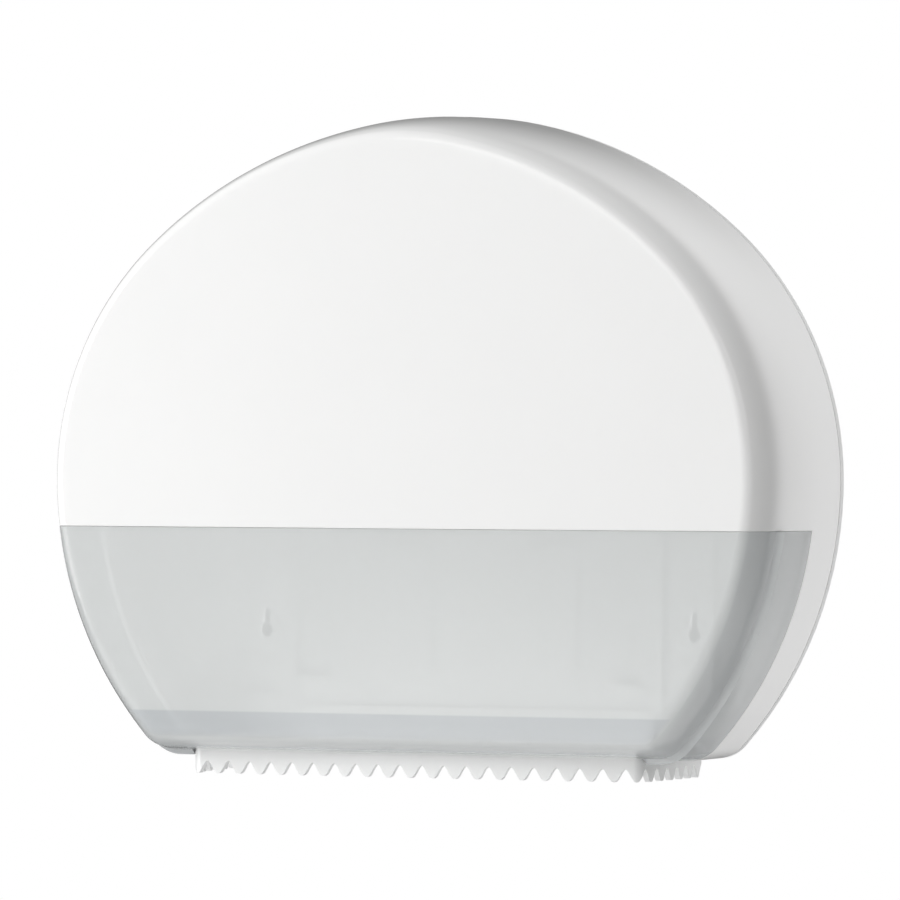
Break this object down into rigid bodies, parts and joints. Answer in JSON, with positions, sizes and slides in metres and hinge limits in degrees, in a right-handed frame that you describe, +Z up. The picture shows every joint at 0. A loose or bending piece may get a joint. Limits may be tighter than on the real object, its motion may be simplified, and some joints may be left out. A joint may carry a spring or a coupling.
{
  "type": "jumbo toilet roll dispenser",
  "caption": "Wall-mounted jumbo toilet roll dispenser: domed white cover with a smoky lower window, toothed tear skirt, roll spindles inside and a keyed lock on top.",
  "frame": {"origin": "on the wall plane, midway between the round parts of the two keyholes", "axes": "+X to the right as seen from the front, +Y into the wall, +Z up"},
  "size_m": [0.437, 0.1327, 0.373],
  "materials": {
    "white_plastic": "satin white moulded plastic",
    "smoke_plastic": "translucent grey-white plastic, smooth",
    "grey_plastic": "fine-textured grey plastic",
    "washer_rubber": "matt",
    "steel": "zinc plated",
    "lock_metal": "polished plating"
  },
  "bodies": {
    "casing": {"back_plate": "white_plastic", "keeper_bracket": "steel", "keeper_screws": "steel", "main_spindle": "grey_plastic", "main_spindle_screws": "steel", "main_brake_washer": "washer_rubber", "main_axle_cap": "grey_plastic", "main_cap_screw": "steel", "stub_spindle": "grey_plastic", "stub_spindle_screws": "steel", "stub_brake_washer": "washer_rubber", "stub_axle_cap": "grey_plastic", "stub_cap_screw": "steel"},
    "main_roller": {"main_hub": "grey_plastic"},
    "stub_roller": {"stub_hub": "grey_plastic"},
    "cover": {"cover_shell": "white_plastic", "cover_window": "smoke_plastic", "outlet_frame": "white_plastic", "frame_screws": "steel", "hinge_pins": "steel", "tear_skirt": "white_plastic", "lock_housing": "white_plastic", "lock_screws": "steel"},
    "lock": {"lock_barrel": "lock_metal", "lock_cam": "steel", "lock_cam_screw": "steel"}
  },
  "joints": [
    {"name": "cover_hinge", "type": "hinge", "parent": "casing", "child": "cover", "pos_m": [0, -0.018, -0.0658], "axis": [1, 0, 0], "range_deg": [0, 80]},
    {"name": "main_hub_spin", "type": "hinge", "parent": "casing", "child": "main_roller", "pos_m": [-0.075, -0.0583, 0.096], "axis": [0, -1, 0], "continuous": true},
    {"name": "stub_hub_spin", "type": "hinge", "parent": "casing", "child": "stub_roller", "pos_m": [0.125, -0.0523, 0.096], "axis": [0, -1, 0], "continuous": true},
    {"name": "lock_turn", "type": "hinge", "parent": "cover", "child": "lock", "pos_m": [0, -0.049, 0.27], "axis": [0, 0, 1], "range_deg": [-90, 0]}
  ]
}
